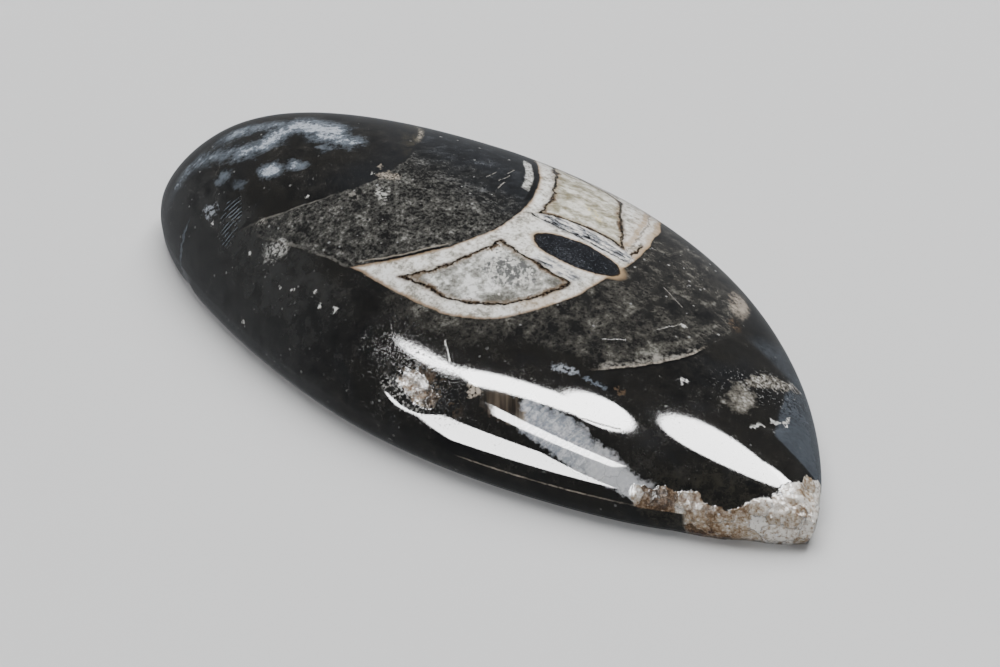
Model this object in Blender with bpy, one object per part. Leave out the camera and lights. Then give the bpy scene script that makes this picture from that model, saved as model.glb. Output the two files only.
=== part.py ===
"""Polished orthoceras fossil: one almond-shaped piece of black limestone.

The stone lies on its ground-flat underside. +X runs to the pointed end, +Z is up, and the
origin is under the middle of the stone. All sizes are in metres.
"""

from collections import namedtuple
from math import cos, pi, radians, sin, sqrt

import bmesh
import bpy
from mathutils import Vector

# Overall size
LENGTH = 0.090
HALF_WIDTH = 0.02163
CREST_HEIGHT = 0.01652
RIM_HEIGHT = 0.00256        # the dome's lower edge, above the flat underside
BASE_INSET = 0.00088        # how far the ground edge goes in below the rim
BOW = 0.00523               # both ends swing this far towards -Y

# Plan outline: place of the widest section and fullness of the two ends
WIDEST_AT = 0.508
BLUNT_PLAN = (1.70, 0.647)
POINT_PLAN = (1.92, 0.847)

# Crest line seen from the side
HIGHEST_AT = 0.367
BLUNT_CREST = (3.76, 0.833)
POINT_CREST = (1.40, 0.768)

# Cross-section of the dome
SECTION = (1.8, 0.5)

GRID = 60                   # mesh cells across the dome
EDGE_RINGS = ((0.45, 0.25), (0.0, 1.0))     # height and inset shares of the ground edge
WAVE_HEIGHT = 0.000015      # gentle unevenness left by hand polishing

# Shallow hollows in the dome: centre, half length, half width, turn and depth
Hollow = namedtuple("Hollow", "x y along across turn depth")
HOLLOWS = (
    Hollow(0.0090, -0.0195, 0.0040, 0.0014, 10, 0.00030),     # open pocket of crystals
    Hollow(0.0359, -0.0006, 0.0024, 0.0007, 66, 0.00025),     # line of pits near the point
    Hollow(0.0427, -0.0030, 0.0022, 0.0012, -55, 0.00045),    # chipped flank of the point
    Hollow(0.0352, -0.0125, 0.0040, 0.0014, 28, 0.00018),     # rough crystals along the edge
)

# Chips out of the lower edge: place along the length, half length and depth
Chip = namedtuple("Chip", "x side reach depth")
CHIPS = (
    Chip(0.0412, -1, 0.0018, 0.0004),
    Chip(-0.0310, -1, 0.0022, 0.0003),
    Chip(0.0120, 1, 0.0024, 0.0004),
)

STONE_COLOUR = (0.022, 0.023, 0.025, 1.0)
STONE_ROUGHNESS = 0.16


def taper(share, fullness):
    """1 in the middle, falling to 0 at the end of a side."""
    power, root = fullness
    return max(0.0, 1.0 - share ** power) ** root


def profile(along, peak, blunt, point):
    """Value at 0..1 along the stone of an outline that is 1 at its peak."""
    if along < peak:
        return taper((peak - along) / peak, blunt)
    return taper((along - peak) / (1.0 - peak), point)


def to_disc(a, b):
    """Square grid to round disc, with rows closing up towards the rim."""
    u = a * sqrt(1.0 - b * b / 2.0)
    v = b * sqrt(1.0 - a * a / 2.0)
    radius = sqrt(u * u + v * v)
    if radius < 1e-9:
        return 0.0, 0.0
    spread = sin(min(radius, 1.0) * pi / 2.0) / radius
    return u * spread, v * spread


def dome_point(a, b):
    """Point of the polished dome for a grid position."""
    u, v = to_disc(a, b)
    along = (u + 1.0) / 2.0
    chord = sqrt(max(1e-12, 1.0 - u * u))
    across = max(-1.0, min(1.0, v / chord))
    if u * u > 1.0 - 1e-9:
        across = 0.0
    half_width = HALF_WIDTH * profile(along, WIDEST_AT, BLUNT_PLAN, POINT_PLAN)
    rise = (CREST_HEIGHT - RIM_HEIGHT) * profile(along, HIGHEST_AT, BLUNT_CREST, POINT_CREST)
    power, root = SECTION
    lift = max(0.0, 1.0 - abs(across) ** power) ** root
    y = across * half_width - BOW * u * u
    return Vector((u * LENGTH / 2.0, y, RIM_HEIGHT + rise * lift))


def hollow_depth(x, y):
    """Depth of the shallow hollows at a place on the dome."""
    depth = 0.0
    for hollow in HOLLOWS:
        turn = radians(hollow.turn)
        dx = x - hollow.x
        dy = y - hollow.y
        along = (dx * cos(turn) + dy * sin(turn)) / hollow.along
        across = (dy * cos(turn) - dx * sin(turn)) / hollow.across
        reach = sqrt(along * along + across * across)
        if reach < 1.0:
            depth += hollow.depth * (0.5 + 0.5 * cos(pi * reach))
    return depth


def waviness(x, y):
    """Slow unevenness of a hand-polished face."""
    return WAVE_HEIGHT * (sin(310.0 * x + 120.0 * y) + sin(170.0 * y - 240.0 * x + 1.3))


def chip_depth(x, side):
    """How far the edge is chipped in at a place along one side."""
    depth = 0.0
    for chip in CHIPS:
        reach = abs(x - chip.x) / chip.reach
        if chip.side == side and reach < 1.0:
            depth += chip.depth * (1.0 - reach)
    return depth


def shape_dome(bm):
    """Bend the flat grid into the dome and sink the hollows into it."""
    for vert in bm.verts:
        vert.co = dome_point(vert.co.x, vert.co.y)
    bm.normal_update()
    for vert in bm.verts:
        if vert.is_boundary:
            continue
        x, y = vert.co.x, vert.co.y
        vert.co += vert.normal * (waviness(x, y) - hollow_depth(x, y))


def lower_edge_point(rim_point, height, share):
    """Point of the ground edge under a rim point, drawn in and chipped."""
    middle = -BOW * (2.0 * rim_point.x / LENGTH) ** 2
    side = 1 if rim_point.y > middle else -1
    inset = BASE_INSET * share + chip_depth(rim_point.x, side)
    x = rim_point.x * (1.0 - inset / (LENGTH / 2.0))
    y = middle + (rim_point.y - middle) * (1.0 - inset / HALF_WIDTH)
    return Vector((x, y, RIM_HEIGHT * height))


def close_edge(bm):
    """Carry the rim down to the flat underside, drawing it in, and close it."""
    loop = [edge for edge in bm.edges if edge.is_boundary]
    rings = []
    for height, share in EDGE_RINGS:
        made = bmesh.ops.extrude_edge_only(bm, edges=loop)["geom"]
        loop = [item for item in made if isinstance(item, bmesh.types.BMEdge) and item.is_boundary]
        ring = [item for item in made if isinstance(item, bmesh.types.BMVert)]
        rings.append((ring, height, share))
    for ring, height, share in rings:
        for vert in ring:
            vert.co = lower_edge_point(vert.co, height, share)
    bmesh.ops.holes_fill(bm, edges=loop, sides=0)


def make_material():
    material = bpy.data.materials.new("black_limestone")
    material.use_nodes = True
    shader = material.node_tree.nodes["Principled BSDF"]
    shader.inputs["Base Color"].default_value = STONE_COLOUR
    shader.inputs["Roughness"].default_value = STONE_ROUGHNESS
    shader.inputs["Metallic"].default_value = 0.0
    return material


def make_stone(collection):
    bm = bmesh.new()
    bmesh.ops.create_grid(bm, x_segments=GRID, y_segments=GRID, size=1.0)
    shape_dome(bm)
    close_edge(bm)
    bmesh.ops.recalc_face_normals(bm, faces=bm.faces)
    mesh = bpy.data.meshes.new("polished_fossil_stone")
    bm.to_mesh(mesh)
    bm.free()
    mesh.shade_smooth()
    mesh.set_sharp_from_angle(angle=radians(35.0))
    mesh.materials.append(make_material())
    stone = bpy.data.objects.new("polished_fossil_stone", mesh)
    collection.objects.link(stone)
    return stone


def main():
    for old in list(bpy.data.objects):
        bpy.data.objects.remove(old, do_unlink=True)
    collection = bpy.data.collections.new("orthoceras_fossil")
    bpy.context.scene.collection.children.link(collection)
    make_stone(collection)


main()
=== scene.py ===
from math import cos, pi, radians, sin
from types import SimpleNamespace

import bmesh
import bpy
from mathutils import Matrix, Vector


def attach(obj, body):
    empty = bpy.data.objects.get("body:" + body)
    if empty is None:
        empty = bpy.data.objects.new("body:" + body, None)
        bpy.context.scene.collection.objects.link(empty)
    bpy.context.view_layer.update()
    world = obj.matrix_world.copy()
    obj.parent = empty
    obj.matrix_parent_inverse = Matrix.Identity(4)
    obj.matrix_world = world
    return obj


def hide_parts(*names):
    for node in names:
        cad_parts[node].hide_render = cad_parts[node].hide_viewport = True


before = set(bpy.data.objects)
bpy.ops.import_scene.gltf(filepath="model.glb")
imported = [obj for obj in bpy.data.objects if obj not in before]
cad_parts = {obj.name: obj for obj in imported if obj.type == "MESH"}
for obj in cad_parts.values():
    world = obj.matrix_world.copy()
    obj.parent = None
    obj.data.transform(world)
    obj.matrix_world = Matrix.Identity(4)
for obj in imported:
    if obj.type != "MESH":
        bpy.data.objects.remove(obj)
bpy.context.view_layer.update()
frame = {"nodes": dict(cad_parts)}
print("frame loaded:", ", ".join(frame["nodes"]))


def mathOperator(operation, reflected=False):
    def apply(wire, other):
        values = (other, wire) if reflected else (wire, other)
        return wire.graph.math(operation, *values)
    return apply


# a Wire is one socket; arithmetic on it adds Math nodes
class Wire:
    def __init__(self, graph, socket):
        self.graph = graph
        self.socket = socket

    def __neg__(self):
        return self.graph.math("MULTIPLY", self, -1.0)

    def __abs__(self):
        return self.graph.math("ABSOLUTE", self)

    __add__ = __radd__ = mathOperator("ADD")
    __sub__ = mathOperator("SUBTRACT")
    __rsub__ = mathOperator("SUBTRACT", True)
    __mul__ = __rmul__ = mathOperator("MULTIPLY")
    __truediv__ = mathOperator("DIVIDE")
    __rtruediv__ = mathOperator("DIVIDE", True)
    __pow__ = mathOperator("POWER")
    __lt__ = mathOperator("LESS_THAN")
    __gt__ = mathOperator("GREATER_THAN")


class NodeGraph:
    def __init__(self, tree):
        self.tree = tree
        tree.nodes.clear()

    def add(self, kind, settings=None, sockets=None, out=0):
        node = self.tree.nodes.new(kind)
        for name, value in (settings or {}).items():
            if name == "stops":
                self.setStops(node.color_ramp, value)
            else:
                setattr(node, name, value)
        for name, value in (sockets or {}).items():
            if isinstance(value, Wire):
                self.tree.links.new(value.socket, node.inputs[name])
            else:
                node.inputs[name].default_value = value
        return Wire(self, node.outputs[out]) if len(node.outputs) else node

    def setStops(self, ramp, stops):
        while len(ramp.elements) < len(stops):
            ramp.elements.new(1.0)
        for element, (place, colour) in zip(ramp.elements, stops):
            element.position = place
            element.color = (*colour, 1.0)

    def math(self, operation, *values):
        return self.add("ShaderNodeMath", {"operation": operation}, dict(enumerate(values)))

    def low(self, a, b, blend=0.0):
        return self.math("SMOOTH_MIN", a, b, blend) if blend else self.math("MINIMUM", a, b)

    def high(self, a, b):
        return self.math("MAXIMUM", a, b)

    def root(self, a):
        return self.math("SQRT", a)

    def rise(self, value, start, end):
        # 0 before start, 1 after end, smooth between; start may be the larger one
        return self.add("ShaderNodeMapRange", {"interpolation_type": "SMOOTHSTEP", "clamp": False},
                        {"Value": value, "From Min": start, "From Max": end})

    def blend(self, factor, a, b):
        return self.add("ShaderNodeMix", {"data_type": "RGBA"},
                        {0: factor, 6: self.tint(a), 7: self.tint(b)}, out=2)

    def tint(self, colour):
        # a colour may be given as a link, as a tone's name or as three numbers
        colour = tones[colour] if isinstance(colour, str) else colour
        return (*colour, 1.0) if isinstance(colour, tuple) else colour

    def split(self, vector):
        node = self.add("ShaderNodeSeparateXYZ", None, {0: vector}).socket.node
        return [Wire(self, socket) for socket in node.outputs]

    def join(self, x, y, z=0.0):
        return self.add("ShaderNodeCombineXYZ", None, {0: x, 1: y, 2: z})

    def scaled(self, vector, scale):
        return self.add("ShaderNodeVectorMath", {"operation": "SCALE"}, {0: vector, "Scale": scale})

    def vector(self, operation, *values):
        return self.add("ShaderNodeVectorMath", {"operation": operation}, dict(enumerate(values)))

    def measure(self, operation, *values):
        # a number from vectors: DOT_PRODUCT, LENGTH or DISTANCE
        return self.add("ShaderNodeVectorMath", {"operation": operation}, dict(enumerate(values)), out=1)

    def noise(self, vector, scale, detail=2.0, rough=0.5, distort=0.0, out="Fac"):
        return self.add("ShaderNodeTexNoise", None,
                        {"Vector": vector, "Scale": scale, "Detail": detail, "Roughness": rough,
                         "Distortion": distort}, out=out)

    def cells(self, vector, scale, out="Distance", feature="F1"):
        return self.add("ShaderNodeTexVoronoi", {"feature": feature}, {"Vector": vector, "Scale": scale},
                        out=out)

    def most(self, masks):
        # the strongest of several masks
        best = masks[0]
        for mask in masks[1:]:
            best = self.high(best, mask)
        return best

    def turned(self, x, y, cx, cy, degrees):
        # x and y as seen from a centre, with the x axis turned
        c, s = cos(radians(degrees)), sin(radians(degrees))
        dx, dy = x - cx, y - cy
        return dx * c + dy * s, dy * c - dx * s

    def ramp(self, value, stops):
        return self.add("ShaderNodeValToRGB", {"stops": stops}, {"Fac": value})


# the stone's shape, in metres: a Geometry Nodes tree bends one grid into a polished dome
stoneShape = {
    "Length": 0.090,
    "Half Width": 0.02163,
    "Crest Height": 0.01652,
    "Rim Height": 0.00256,
    "Base Inset": 0.00088,
    "Bow": 0.00523,
    "Wave Height": 0.000015,
    "Cells": 276,
}
# each profile: where its peak is, then power and fullness towards the blunt end and the point
profiles = {"plan": (0.508, (1.70, 0.647), (1.92, 0.847)), "crest": (0.367, (3.76, 0.833), (1.40, 0.768))}
section = (1.8, 0.5)    # power and fullness across the stone
# rings from the rim down to the underside: share of the rim's height, share of the inset
edgeRings = ((0.96, 0.03), (0.86, 0.07), (0.65, 0.15), (0.45, 0.25), (0.25, 0.52), (0.08, 0.85), (0.0, 1.0))
# waves left by hand polishing, in radians a metre
polishWaves = {"first": (310.0, 120.0), "second": (240.0, 170.0), "shift": 1.3}
# shallow hollows in metres: x, y, half length, half width, turn in degrees, depth
hollows = (
    (0.0090, -0.0195, 0.0040, 0.0014, 10, 0.00030),
    (0.0359, -0.0006, 0.0024, 0.0007, 66, 0.00025),
    (0.0427, -0.0030, 0.0022, 0.0012, -55, 0.00045),
    (0.0352, -0.0125, 0.0040, 0.0014, 28, 0.00018),
)
# chips out of the lower edge in metres: x, side, half length, depth
chips = (
    (0.0412, -1, 0.0018, 0.0004),
    (-0.0310, -1, 0.0022, 0.0003),
    (0.0120, 1, 0.0024, 0.0004),
)
chipGrowth = 1.6    # how fast a chip deepens below the rim
# height of the unpolished crystals in metres, and how much of it each place has
crystalRelief = {
    "lumps": -0.00030, "grain": -0.00016, "fine": 0.00024, "pocket": 0.6, "crust": 0.28, "tip": 0.5,
}
# the texture map: the dome opened out where it is steep, the underside below it
textureMap = {
    "openU": (0.12, 6), "openV": (0.35, 8),
    "domeCentre": (0.5, 0.675), "domeReach": 1.12, "domeHalf": (0.495, 0.214),
    "underCentre": (0.36, 0.18), "underScale": 0.70,
}


def profileWire(g, along, peak, blunt, point):
    # an outline that is 1 at its peak and falls to 0 at both ends
    share = g.high((peak - along) / peak, (along - peak) / (1.0 - peak))
    pointed = along > peak
    power = blunt[0] + pointed * (point[0] - blunt[0])
    fullness = blunt[1] + pointed * (point[1] - blunt[1])
    return g.high(1.0 - share ** power, 0.0) ** fullness


def hollowWire(g, x, y):
    depth = None
    for *place, deep in hollows:
        reach = g.low(1.0 - ellipse(g.join(x, y), *place), 1.0)
        bowl = (g.math("COSINE", reach * pi) * 0.5 + 0.5) * deep
        depth = bowl if depth is None else depth + bowl
    return depth


def chipWire(g, x, side):
    depth = None
    for cx, chipSide, halfLength, deep in chips:
        reach = g.low(abs(x - cx) / halfLength, 1.0)
        here = (side * chipSide) > 0.0
        notch = (1.0 - reach) * here * deep
        depth = notch if depth is None else depth + notch
    return depth


def buildShapeTree():
    tree = bpy.data.node_groups.new("stoneShape", "GeometryNodeTree")
    sides = tree.interface
    for name, value in stoneShape.items():
        kind = "NodeSocketInt" if isinstance(value, int) else "NodeSocketFloat"
        sides.new_socket(name, in_out="INPUT", socket_type=kind).default_value = value
    sides.new_socket("Material", in_out="INPUT", socket_type="NodeSocketMaterial")
    sides.new_socket("Geometry", in_out="OUTPUT", socket_type="NodeSocketGeometry")
    g = NodeGraph(tree)
    entry = g.add("NodeGroupInput").socket.node
    given = {socket.name: Wire(g, socket) for socket in entry.outputs if socket.name}
    count = given["Cells"] + 1
    grid = g.add("GeometryNodeMeshGrid", None,
                 {"Size X": 2.0, "Size Y": 2.0, "Vertices X": count, "Vertices Y": count})
    a, b = g.split(g.add("GeometryNodeInputPosition"))[:2]
    # square to disc, rows closing up towards the rim
    u = a * g.root(1.0 - b * b / 2.0)
    v = b * g.root(1.0 - a * a / 2.0)
    radius = g.high(g.root(u * u + v * v), 1e-6)
    spread = g.math("SINE", g.low(radius, 1.0) * (pi / 2.0)) / radius
    u, v = u * spread, v * spread
    onRim = g.high(abs(a), abs(b)) > 0.99999
    inside = 1.0 - onRim
    chord = g.root(g.high(1.0 - u * u, 1e-9))
    across = g.high(g.low(v / chord, 1.0), -1.0) * (abs(u) < 0.999999)
    along = (u + 1.0) / 2.0
    halfWidth = given["Half Width"] * profileWire(g, along, *profiles["plan"])
    rise = (given["Crest Height"] - given["Rim Height"]) * profileWire(g, along, *profiles["crest"])
    power, fullness = section
    lift = g.high(1.0 - abs(across) ** power, 0.0) ** fullness * inside
    half = given["Length"] / 2.0
    place = g.join(u * half, across * halfWidth - given["Bow"] * u * u, given["Rim Height"] + rise * lift)
    dome = g.add("GeometryNodeSetPosition", None, {"Geometry": grid, "Position": place})
    openU, powerU = textureMap["openU"]
    openV, powerV = textureMap["openV"]
    mapU = u * (1.0 + openU * u ** powerU)
    mapV = (across * halfWidth / given["Half Width"]) * (1.0 + openV * across ** powerV)
    store = {"data_type": "FLOAT_VECTOR", "domain": "POINT"}
    marked = g.add("GeometryNodeStoreNamedAttribute", store,
                   {"Geometry": dome, "Name": "plan", "Value": g.join(mapU, mapV)})
    marked = g.add("GeometryNodeStoreNamedAttribute", {"data_type": "FLOAT", "domain": "POINT"},
                   {"Geometry": marked, "Name": "rim", "Value": onRim})
    # relief: polishing waves, hollows and unpolished crystals
    px, py = g.split(g.add("GeometryNodeInputPosition"))[:2]
    first, second = polishWaves["first"], polishWaves["second"]
    wave = given["Wave Height"] * (
        g.math("SINE", px * first[0] + py * first[1])
        + g.math("SINE", py * second[1] - px * second[0] + polishWaves["shift"]))
    relief = (wave - hollowWire(g, px, py) + roughWire(g)) * (1.0 - namedNumber(g, "rim"))
    push = g.scaled(g.add("GeometryNodeInputNormal"), relief)
    carved = g.add("GeometryNodeSetPosition", None, {"Geometry": marked, "Offset": push})
    # ground edge: the rim loop goes down to the flat underside in rings
    carved = g.add("GeometryNodeStoreNamedAttribute", store,
                   {"Geometry": carved, "Name": "rimSpot", "Value": g.add("GeometryNodeInputPosition")})
    outer = g.math("COMPARE", g.add("GeometryNodeInputMeshEdgeNeighbors"), 1.0, 0.1)
    for height, share in edgeRings:
        extruded = g.add("GeometryNodeExtrudeMesh", {"mode": "EDGES"},
                         {"Mesh": carved, "Selection": outer, "Offset Scale": 0.0}).socket.node
        rx, ry = g.split(namedVector(g, "rimSpot"))[:2]
        turnX = rx / half
        middle = given["Bow"] * turnX * turnX * -1.0
        side = g.math("SIGN", ry - middle)
        chipShare = min(1.0, chipGrowth * (1.0 - height))
        inset = given["Base Inset"] * share + chipWire(g, rx, side) * chipShare
        lower = g.join(rx * (1.0 - inset / half),
                       middle + (ry - middle) * (1.0 - inset / given["Half Width"]),
                       given["Rim Height"] * height)
        carved = g.add("GeometryNodeSetPosition", None,
                       {"Geometry": Wire(g, extruded.outputs["Mesh"]),
                        "Selection": Wire(g, extruded.outputs["Top"]), "Position": lower})
    smooth = g.add("GeometryNodeSetShadeSmooth", None, {"Geometry": carved})
    real = g.add("GeometryNodeRealizeInstances", None, {"Geometry": smooth})
    done = g.add("GeometryNodeSetMaterial", None, {"Geometry": real, "Material": given["Material"]})
    g.add("NodeGroupOutput", None, {"Geometry": done})
    return tree


def namedNumber(g, name):
    return g.add("GeometryNodeInputNamedAttribute", {"data_type": "FLOAT"}, {"Name": name})


def namedVector(g, name):
    return g.add("GeometryNodeInputNamedAttribute", {"data_type": "FLOAT_VECTOR"}, {"Name": name})


def roughWire(g):
    # crystal lumps where the stone isn't polished through
    mm = g.scaled(g.add("GeometryNodeInputPosition"), 1000.0)
    lumps = g.cells(mm, 0.62) - 0.6
    grain = g.cells(mm, 1.25) - 0.45
    fine = g.noise(mm, 1.6, 3.0) - 0.5
    pocket, crust, tip = roughPlaces(g, mm)
    share = crystalRelief
    amount = pocket * share["pocket"] + crust * share["crust"] + tip * share["tip"]
    return amount * (lumps * share["lumps"] + grain * share["grain"] + fine * share["fine"])


def ellipse(spot, cx, cy, halfLength, halfWidth, turn):
    # 0 on the outline, 1 in the middle, negative outside
    g = spot.graph
    c, s = cos(radians(turn)), sin(radians(turn))
    along = g.measure("DOT_PRODUCT", spot, (c / halfLength, s / halfLength, 0.0))
    across = g.measure("DOT_PRODUCT", spot, (-s / halfWidth, c / halfWidth, 0.0))
    along = along - (cx * c + cy * s) / halfLength
    across = across - (cy * c - cx * s) / halfWidth
    return 1.0 - g.measure("LENGTH", g.join(along, across))


def softSpot(spot, cx, cy, halfLength, halfWidth, turn, end, start=0.0):
    # an ellipse as a mask that is 0 up to start and 1 from end
    return spot.graph.rise(ellipse(spot, cx, cy, halfLength, halfWidth, turn), start, end)


def roughPlaces(g, mm):
    # the open crystal pocket, the crust along the near edge and the crystals of the point, in mm
    ragged = g.split(g.noise(mm, 0.8, 3.0, 0.6, out="Color"))
    x, y, z = g.split(mm)
    rx = x + (ragged[0] - 0.5) * 2.2
    rz = z + (ragged[1] - 0.5) * 1.5
    pocket = g.rise(ellipse(g.join(rx, rz), 8.9, 6.7, 3.1, 1.05, -17.0), 0.0, 0.35) * (y < 0.0)
    crustTop = 4.3 - g.rise(abs(x - 38.4), 2.4, 0.4) * 0.9
    crust = g.rise(rx, 31.4, 32.2) * g.rise(rz - crustTop, 0.15, -0.15) * (y < -2.0)
    crust = crust * g.high(g.rise(z, 2.2, 2.7), g.rise(x, 35.2, 37.0))
    tip = g.rise(rx + z * 0.42, 43.2, 43.8)
    return pocket, crust, tip


def modifierInput(modifier, name, value):
    for item in modifier.node_group.interface.items_tree:
        if item.item_type == "SOCKET" and item.in_out == "INPUT" and item.name == name:
            modifier[item.identifier] = value


def closeUnderside(mesh):
    bm = bmesh.new()
    bm.from_mesh(mesh)
    loop = [edge for edge in bm.edges if edge.is_boundary]
    base = bmesh.ops.holes_fill(bm, edges=loop, sides=0)["faces"]
    for face in base:
        face.smooth = False
        for edge in face.edges:
            edge.smooth = False
    plan = bm.verts.layers.float_vector["plan"]
    uvLayer = bm.loops.layers.uv.new("OFBake")
    bm.normal_update()
    if base[0].normal.z > 0.0:
        bmesh.ops.reverse_faces(bm, faces=base)
    length, halfWidth, rim = (stoneShape[name] for name in ("Length", "Half Width", "Rim Height"))
    underU, underV = textureMap["underCentre"]
    domeU, domeV = textureMap["domeCentre"]
    halfU, halfV = textureMap["domeHalf"]
    for face in bm.faces:
        under = face.normal.z < -0.9 and len(face.verts) > 8
        for corner in face.loops:
            co = corner.vert.co
            if under:
                u = underU + co.x / length * textureMap["underScale"]
                v = underV + co.y / length * textureMap["underScale"]
            else:
                spot = corner.vert[plan]
                drop = max(0.0, rim - co.z) / halfWidth
                side = 1.0 if spot.y > 0.0 else -1.0
                u = domeU + spot.x / textureMap["domeReach"] * halfU
                v = domeV + (spot.y + side * drop) * halfV
            corner[uvLayer].uv = (u, v)
    bm.to_mesh(mesh)
    bm.free()


def makeStone(material):
    holder = bpy.data.objects.new("stoneHolder", bpy.data.meshes.new("stoneHolder"))
    bpy.context.scene.collection.objects.link(holder)
    modifier = holder.modifiers.new("stoneShape", "NODES")
    modifier.node_group = buildShapeTree()
    for name, value in stoneShape.items():
        modifierInput(modifier, name, value)
    modifierInput(modifier, "Material", material)
    depsgraph = bpy.context.evaluated_depsgraph_get()
    mesh = bpy.data.meshes.new_from_object(holder.evaluated_get(depsgraph))
    mesh.name = "polishedStone"
    bpy.data.objects.remove(holder, do_unlink=True)
    closeUnderside(mesh)
    for name in ("plan", "rim", "rimSpot"):
        if name in mesh.attributes:
            mesh.attributes.remove(mesh.attributes[name])
    if not mesh.materials:
        mesh.materials.append(material)
    stone = bpy.data.objects.new("polishedStone", mesh)
    bpy.context.scene.collection.objects.link(stone)
    print("stone:", len(mesh.polygons), "faces")
    return stone


# the stone's finish, measured in mm on the plan, or in x and height on the near flank
# each septum is an arc x = top - bend * (y - middle)^2, bent more on the near side
septa = {
    "first": (-11.9, -4.0, 0.072, 0.058),
    "second": (2.25, -2.6, 0.053, 0.0455),
    "third": (14.15, -2.0, 0.037, 0.0235),
    "fourth": (25.9, 0.2, 0.047, 0.030),
}
tones = {
    "matrixWarm": (0.0150, 0.0135, 0.0105),
    "matrixBlue": (0.0105, 0.0120, 0.0145),
    # a painted sheen for the duller skin
    "haze": (0.029, 0.029, 0.028),
    "khaki": (0.052, 0.046, 0.031),
    "pin": (0.34, 0.34, 0.33),
    "cream": (0.60, 0.54, 0.44),
    "white": (0.90, 0.87, 0.81),
    "chalk": (0.36, 0.34, 0.30),
    "tan": (0.42, 0.29, 0.165),
    "brownLine": (0.028, 0.017, 0.008),
    "lensPale": (0.62, 0.61, 0.57),
    "lensYellow": (0.70, 0.59, 0.28),
    "shard": (0.115, 0.117, 0.115),
    "stain": (0.20, 0.215, 0.245),
    "siphuncle": (0.0065, 0.0072, 0.0090),
    "siphuncleDust": (0.026, 0.028, 0.033),
    "milk": (0.20, 0.235, 0.28),
    "milkCore": (0.50, 0.54, 0.60),
    "amber": (0.120, 0.092, 0.066),
    "amberDark": (0.020, 0.016, 0.012),
    "crystalBrown": (0.20, 0.125, 0.072),
    "crystalCream": (0.50, 0.43, 0.35),
    "crevice": (0.030, 0.021, 0.014),
    "bandBlue": (0.34, 0.37, 0.42),
    "bandWhite": (0.80, 0.80, 0.81),
    "glassBlue": (0.062, 0.072, 0.086),
    "black": (0.002, 0.002, 0.002),
    "groundBase": (0.055, 0.054, 0.052),
}
# tones by the brightness of a cloudy noise
matrixTones = ((0.38, (0.0036, 0.0036, 0.0036)), (0.47, (0.0078, 0.0076, 0.0070)),
               (0.55, (0.0150, 0.0142, 0.0125)), (0.63, (0.030, 0.028, 0.025)),
               (0.74, (0.085, 0.081, 0.073)))
nearTones = ((0.40, (0.0065, 0.0065, 0.0062)), (0.465, (0.018, 0.0175, 0.016)),
             (0.52, (0.041, 0.040, 0.036)), (0.58, (0.098, 0.095, 0.085)), (0.65, (0.29, 0.285, 0.265)))
farTones = ((0.39, (0.0035, 0.0039, 0.0045)), (0.47, (0.0065, 0.0072, 0.0083)),
            (0.54, (0.014, 0.0155, 0.018)), (0.61, (0.038, 0.041, 0.046)), (0.69, (0.15, 0.16, 0.175)))
pointTones = ((0.39, (0.0060, 0.0060, 0.0058)), (0.46, (0.0150, 0.0144, 0.0130)),
              (0.525, (0.033, 0.031, 0.027)), (0.59, (0.073, 0.069, 0.059)), (0.66, (0.21, 0.205, 0.18)))
calciteTones = ((0.39, (0.25, 0.24, 0.205)), (0.46, (0.50, 0.475, 0.42)), (0.52, (0.80, 0.775, 0.72)),
                (0.59, (0.95, 0.94, 0.91)))
lensTones = ((0.40, (0.115, 0.110, 0.095)), (0.46, (0.26, 0.255, 0.23)), (0.52, (0.45, 0.445, 0.41)),
             (0.59, (0.88, 0.875, 0.85)))
crystalTones = ((0.38, (0.050, 0.030, 0.017)), (0.48, (0.20, 0.118, 0.062)), (0.58, (0.34, 0.25, 0.165)),
                (0.70, (0.52, 0.45, 0.365)), (0.86, (0.84, 0.81, 0.76)))
paleTones = ((0.41, (0.032, 0.029, 0.025)), (0.50, (0.090, 0.082, 0.069)), (0.58, (0.21, 0.195, 0.165)),
             (0.67, (0.62, 0.60, 0.56)))


def septum(g, x, y, name):
    # distance past a septum towards the point, negative on its hollow side
    top, middle, nearBend, farBend = septa[name]
    off = y - middle
    bend = nearBend + (off > 0.0) * (farBend - nearBend)
    slope = off * bend * 2.0
    return (x - top + off * off * bend) / g.root(slope * slope + 1.0)


def stripe(distance, width, soft=0.5):
    # 1 on a line, 0 away from it
    return distance.graph.rise(abs(distance), width * (1.0 + soft), width * (1.0 - soft))


def between(value, start, end, soft):
    # 1 between two values, 0 outside them
    g = value.graph
    return g.rise(value, start - soft, start + soft) * g.rise(value, end + soft, end - soft)


def lineReach(spot, ax, ay, bx, by):
    # distance to a straight line from a to b
    g = spot.graph
    length = ((bx - ax) ** 2 + (by - ay) ** 2) ** 0.5
    along = ((bx - ax) / length, (by - ay) / length, 0.0)
    offset = g.vector("SUBTRACT", spot, (ax, ay, 0.0))
    reach = g.high(g.low(g.measure("DOT_PRODUCT", offset, along), length), 0.0)
    return g.measure("DISTANCE", offset, g.scaled(along, reach))


def streaks(at, degrees, alongScale, acrossScale, detail=3.0):
    # noise drawn out along one direction of the plan
    g = at.g
    along, across = g.turned(at.x, at.y, 0.0, 0.0, degrees)
    drawn = g.join(along * alongScale, across * acrossScale, at.z * acrossScale)
    return g.noise(drawn, 1.0, detail, 0.6)


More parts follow.
